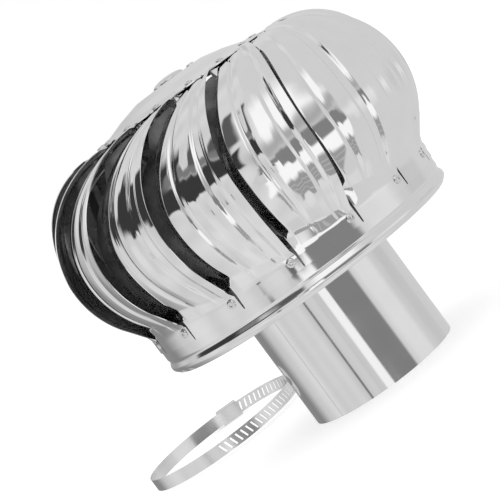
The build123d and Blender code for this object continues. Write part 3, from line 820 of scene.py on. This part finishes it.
def plug(material):
    """The domed plug in the cap."""
    dome = []
    for step in range(1, PLUG_STEPS + 1):
        lift = math.radians(90 * step / PLUG_STEPS)
        rise = PLUG_EDGE + (PLUG_HEIGHT - PLUG_EDGE) * math.cos(lift)
        dome.append((PLUG_R * math.sin(lift), CROWN_Z + rise))
    stem_r = CAP_HOLE_R - RIVET_SEAT
    hollow_r = CAP_HOLE_R - PLUG_STEM_WALL
    section = [(PLUG_CENTRE_R, CROWN_Z + PLUG_HEIGHT)] + dome + [
        (PLUG_R, CROWN_Z),
        (stem_r, CROWN_Z),
        (stem_r, CROWN_Z - PLUG_STEM),
        (hollow_r, CROWN_Z - PLUG_STEM),
        (hollow_r, CROWN_Z + PLUG_EDGE),
        (PLUG_CENTRE_R, CROWN_Z + PLUG_EDGE),
    ]
    stand_in(spun_piece("plug_dome", section[::-1], material), "head", "cap_plug")


# Rivets


def rivet_outline(grip, head):
    """Radius and height along a set blind rivet, from its tail to the mandrel in its head."""
    tail = -grip - RIVET_SEAT
    shank = [
        (0, tail - RIVET_TAIL),
        (RIVET_TAIL_R * TAIL_END_SHARE, tail - RIVET_TAIL),
        (RIVET_TAIL_R, tail - RIVET_TAIL * TAIL_SIDE_SHARE),
        (RIVET_TAIL_R, tail),
        (RIVET_R, tail),
        (RIVET_R, RIVET_SEAT),
        (RIVET_HEAD_R, RIVET_SEAT),
    ]
    curve = [(RIVET_HEAD_R * wide, head * high) for wide, high in HEAD_CURVE]
    mandrel = [
        (RIVET_HOLE_R, head * HOLE_EDGE),
        (RIVET_HOLE_R, head * HOLE_FLOOR),
        (MANDREL_R, head * HOLE_FLOOR),
        (MANDREL_R, head * MANDREL_EDGE),
        (0, head * MANDREL_TIP),
    ]
    return shank + curve + mandrel


def rivets(name, places, grip, material, node_name, head=RIVET_HEAD):
    """All rivets of one row, as one piece; each place is a point and a direction."""
    outline = rivet_outline(grip, head)
    points = []
    faces = []
    for place, direction in places:
        turn = direction.to_track_quat("Z", "Y").to_matrix()
        start = len(points)
        for radius, height in outline:
            for side in range(RIVET_SIDES):
                angle = math.radians(side * 360 / RIVET_SIDES)
                local = Vector((radius * math.cos(angle), radius * math.sin(angle), height)) * MM
                points.append(place + turn @ local)
        faces += grid_faces(len(outline), RIVET_SIDES, close_columns=True, start=start)
    piece = new_piece(name, points, faces, material, sharp_angle=50)
    stand_in(piece, "head", node_name)


def all_rivets(material):
    """The rivets on the skirt, on the cap's brim and on its crown."""
    up = Vector((0, 0, 1))
    skirt_row = []
    brim_row = []
    for step in range(VANE_COUNT):
        angle = SKIRT_RIVET_ANGLE + step * VANE_PITCH
        skirt_row.append((spot(TAB_FACE, angle, SKIRT_RIVET_Z), outward(angle)))
        angle = tongue_middle() + step * VANE_PITCH
        lean = (up + outward(angle) * BRIM_SLOPE).normalized()
        brim_row.append((spot(CAP_RIVET_REACH, angle, brim_height(CAP_RIVET_REACH)), lean))
    crown_row = []
    for step in range(CROWN_RIVETS):
        angle = CROWN_RIVET_ANGLE + step * 360 / CROWN_RIVETS
        crown_row.append((spot(CROWN_RIVET_REACH, angle, CROWN_Z), up))
    rivets("skirt_rivet_row", skirt_row, SKIRT_GRIP, material, "skirt_rivets")
    rivets("brim_rivet_row", brim_row, CAP_GRIP, material, "cap_rivets", head=BRIM_RIVET_HEAD)
    rivets("crown_rivet_row", crown_row, CROWN_GRIP, material, "crown_rivets")


# Hose clamp


def saddle_outline(shell):
    """The screw housing's section: one leg, the arch, the other leg and back round the screw."""
    strap_r = CLAMP_BORE_R + STRAP_SHEET
    axis_r = strap_r + STRAP_SHEET + SCREW_PLAY + SCREW_R
    foot = CLAMP_BORE_R + SLIP - axis_r
    deck = strap_r + STRAP_SHEET + SLIP - axis_r
    side = SADDLE_WIDTH / 2
    slot = STRAP_WIDTH / 2 + SLIP
    bore = SCREW_R + SCREW_PLAY
    shoulder = (
        -SADDLE_SHOULDER * SHOULDER_DROP_SHARE,
        side - SADDLE_SHOULDER * SHOULDER_RUN_SHARE,
    )
    points = [(foot, side), (-SADDLE_SHOULDER, side), shoulder]
    for step in range(ARCH_STEPS + 1):
        turn = math.radians(mix(ARCH_ANGLE, -ARCH_ANGLE, step / ARCH_STEPS))
        points.append((shell * math.cos(turn), shell * math.sin(turn)))
    points += [(shoulder[0], -shoulder[1]), (-SADDLE_SHOULDER, -side), (foot, -side)]
    points += [(foot, -slot), (deck, -slot)]
    for step in range(BORE_STEPS + 1):
        turn = math.radians(mix(-BORE_ANGLE, BORE_ANGLE, step / BORE_STEPS))
        points.append((bore * math.cos(turn), bore * math.sin(turn)))
    return points + [(deck, slot), (foot, slot)], axis_r


def saddle(material):
    """The clamp's screw housing, with a groove over its arch near each end."""
    full = SCREW_R + SCREW_PLAY + SADDLE_WALL
    half = SADDLE_LENGTH / 2
    ends = [
        (half, full - SADDLE_EDGE),
        (half - SADDLE_EDGE, full),
        (SADDLE_GROOVE_TO, full),
        (SADDLE_GROOVE_TO - SADDLE_GROOVE, full - SADDLE_GROOVE),
        (SADDLE_GROOVE_FROM + SADDLE_GROOVE, full - SADDLE_GROOVE),
        (SADDLE_GROOVE_FROM, full),
    ]
    stations = [(-along, shell) for along, shell in ends] + ends[::-1]
    points = []
    for along, shell in stations:
        outline, axis_r = saddle_outline(shell)
        points += [Vector((x, along, z)) * MM for x, z in outline]
    count = len(outline)
    faces = grid_faces(len(stations), count, close_columns=True)
    faces.append(tuple(range(count - 1, -1, -1)))
    faces.append(tuple(range(len(points) - count, len(points))))
    place = Matrix.Translation(Vector((CLAMP_X, CLAMP_Y, STRAP_LIFT + STRAP_WIDTH / 2)) * MM)
    place @= Matrix.Rotation(math.radians(SADDLE_ANGLE), 4, "Z")
    place @= Matrix.Translation((axis_r * MM, 0, 0))
    points = [place @ point for point in points]
    piece = new_piece("saddle_shell", points, faces, material, sharp_angle=35)
    stand_in(piece, "base", "clamp_saddle")


# Studio


def camera():
    """The photograph's camera."""
    data = bpy.data.cameras.new("camera")
    data.lens = CAMERA_LENS
    data.sensor_width = CAMERA_SENSOR
    look = Vector((
        math.sin(CAMERA_YAW) * math.cos(CAMERA_PITCH),
        math.cos(CAMERA_YAW) * math.cos(CAMERA_PITCH),
        -math.sin(CAMERA_PITCH),
    ))
    level = look.cross(Vector((0, 0, 1))).normalized()
    upright = level.cross(look)
    right = level * math.cos(CAMERA_ROLL) - upright * math.sin(CAMERA_ROLL)
    up = level * math.sin(CAMERA_ROLL) + upright * math.cos(CAMERA_ROLL)
    turn = Matrix((right, up, -look)).transposed().to_4x4()
    eye = bpy.data.objects.new("camera", data)
    eye.matrix_world = Matrix.Translation((0, -CAMERA_DISTANCE, CAMERA_HEIGHT)) @ turn
    data.clip_start = CAMERA_CLIP_START
    data.clip_end = CAMERA_CLIP_END
    bpy.context.scene.collection.objects.link(eye)
    bpy.context.scene.camera = eye


def mirrored_level(tree, direction):
    """The brightness of the studio in this direction, as bright metal sees it."""
    link = tree.links.new
    parts = node(tree, "ShaderNodeSeparateXYZ")
    link(direction, parts.inputs["Vector"])
    x, y, z = (parts.outputs[axis] for axis in "XYZ")

    def operate(kind, first, second=None):
        made = node(tree, "ShaderNodeMath", operation=kind)
        for socket, value in zip(made.inputs, (first, second)):
            if isinstance(value, (int, float)):
                socket.default_value = value
            elif value is not None:
                link(value, socket)
        return made.outputs["Value"]

    sway = node(tree, "ShaderNodeTexNoise", Scale=SWAY_SCALE, Detail=0.0)
    link(direction, sway.inputs["Vector"])
    split = node(tree, "ShaderNodeSeparateColor")
    link(sway.outputs["Color"], split.inputs["Color"])

    def swayed(value, channel, reach):
        sideways = operate("SUBTRACT", split.outputs[channel], 0.5)
        return operate("ADD", value, operate("MULTIPLY", sideways, reach))

    azimuth = operate("DEGREES", operate("ARCTAN2", x, operate("MULTIPLY", y, -1)))
    azimuth = swayed(azimuth, "Red", SWAY)
    climb = swayed(operate("DEGREES", operate("ARCSINE", z)), "Green", SWAY)

    def ramp(value, low, high):
        return ranged(tree, value, (low, high), interpolation_type="SMOOTHSTEP")

    level = swayed(ROOM_LEVEL, "Blue", ROOM_SWAY)
    for left, right, bottom, top, soft, shade in FLAGS:
        inside = ramp(azimuth, left - soft, left + soft)
        inside = operate("MULTIPLY", inside, ramp(azimuth, right + soft, right - soft))
        inside = operate("MULTIPLY", inside, ramp(climb, bottom - soft, bottom + soft))
        inside = operate("MULTIPLY", inside, ramp(climb, top + soft, top - soft))
        step = operate("MULTIPLY", inside, operate("SUBTRACT", shade, level))
        level = operate("ADD", step, level)
    return level


def floor():
    """A plain pale floor, white to the camera where no shadow falls on it."""
    material = bpy.data.materials.new("floor_paper")
    material.use_nodes = True
    tree = material.node_tree
    link = tree.links.new
    tree.nodes.clear()
    place = node(tree, "ShaderNodeTexCoord").outputs["Object"]
    fibres = node(tree, "ShaderNodeTexNoise", Scale=FIBRE_SCALE, Detail=FIBRE_DETAIL)
    link(place, fibres.inputs["Vector"])
    tone = ranged(tree, fibres.outputs["Fac"], (0, 1), (FLOOR_COLOUR * FIBRE_SHADE, FLOOR_COLOUR))
    paper = node(tree, "ShaderNodeBsdfDiffuse")
    link(tone, paper.inputs["Color"])
    lift = node(tree, "ShaderNodeEmission")
    strength = node(tree, "ShaderNodeMath", operation="MULTIPLY")
    strength.inputs[1].default_value = FLOOR_LIFT
    link(node(tree, "ShaderNodeLightPath").outputs["Is Camera Ray"], strength.inputs[0])
    link(strength.outputs["Value"], lift.inputs["Strength"])
    lit = node(tree, "ShaderNodeAddShader")
    link(paper.outputs["BSDF"], lit.inputs[0])
    link(lift.outputs["Emission"], lit.inputs[1])
    out = node(tree, "ShaderNodeOutputMaterial")
    link(lit.outputs["Shader"], out.inputs["Surface"])
    points = [(x * FLOOR_REACH, y * FLOOR_REACH, 0) for x, y in ((-1, -1), (1, -1), (1, 1), (-1, 1))]
    sheet = new_piece("floor_sheet", points, [(0, 1, 2, 3)], material)
    sheet.visible_glossy = False


def world():
    """White for the camera and for plain light, and a studio with flags for glossy rays."""
    scene_world = bpy.data.worlds.new("studio")
    bpy.context.scene.world = scene_world
    scene_world.use_nodes = True
    tree = scene_world.node_tree
    direction = node(tree, "ShaderNodeTexCoord").outputs["Generated"]
    rays = node(tree, "ShaderNodeLightPath")
    blend = node(tree, "ShaderNodeMix", data_type="FLOAT")
    # Inputs 2 and 3 are the two numbers that a float mix blends
    blend.inputs[2].default_value = 1.0
    tree.links.new(rays.outputs["Is Glossy Ray"], blend.inputs["Factor"])
    tree.links.new(mirrored_level(tree, direction), blend.inputs[3])
    background = tree.nodes["Background"]
    background.inputs["Color"].default_value = (1, 1, 1, 1)
    tree.links.new(blend.outputs[0], background.inputs["Strength"])


world()
camera()
metal = {name: steel(name, **look) for name, look in METALS.items()}
for row in frame["record"]["subparts"]:
    item = frame["nodes"][row["node"]]
    item.data.materials.clear()
    item.data.materials.append(metal[row["material_slot"]])
vanes(metal["vane_steel"], metal["vane_inside_shade"], metal["vane_underlap_shade"])
spigot_pipe(metal["pipe_steel"])
skirt(metal["head_steel"], metal["vane_underlap_shade"])
cap(metal["cap_steel"])
plug(metal["plug_steel"])
all_rivets(metal["rivet_steel"])
saddle(metal["clamp_steel"])
floor()
bpy.context.scene.view_settings.view_transform = "Standard"
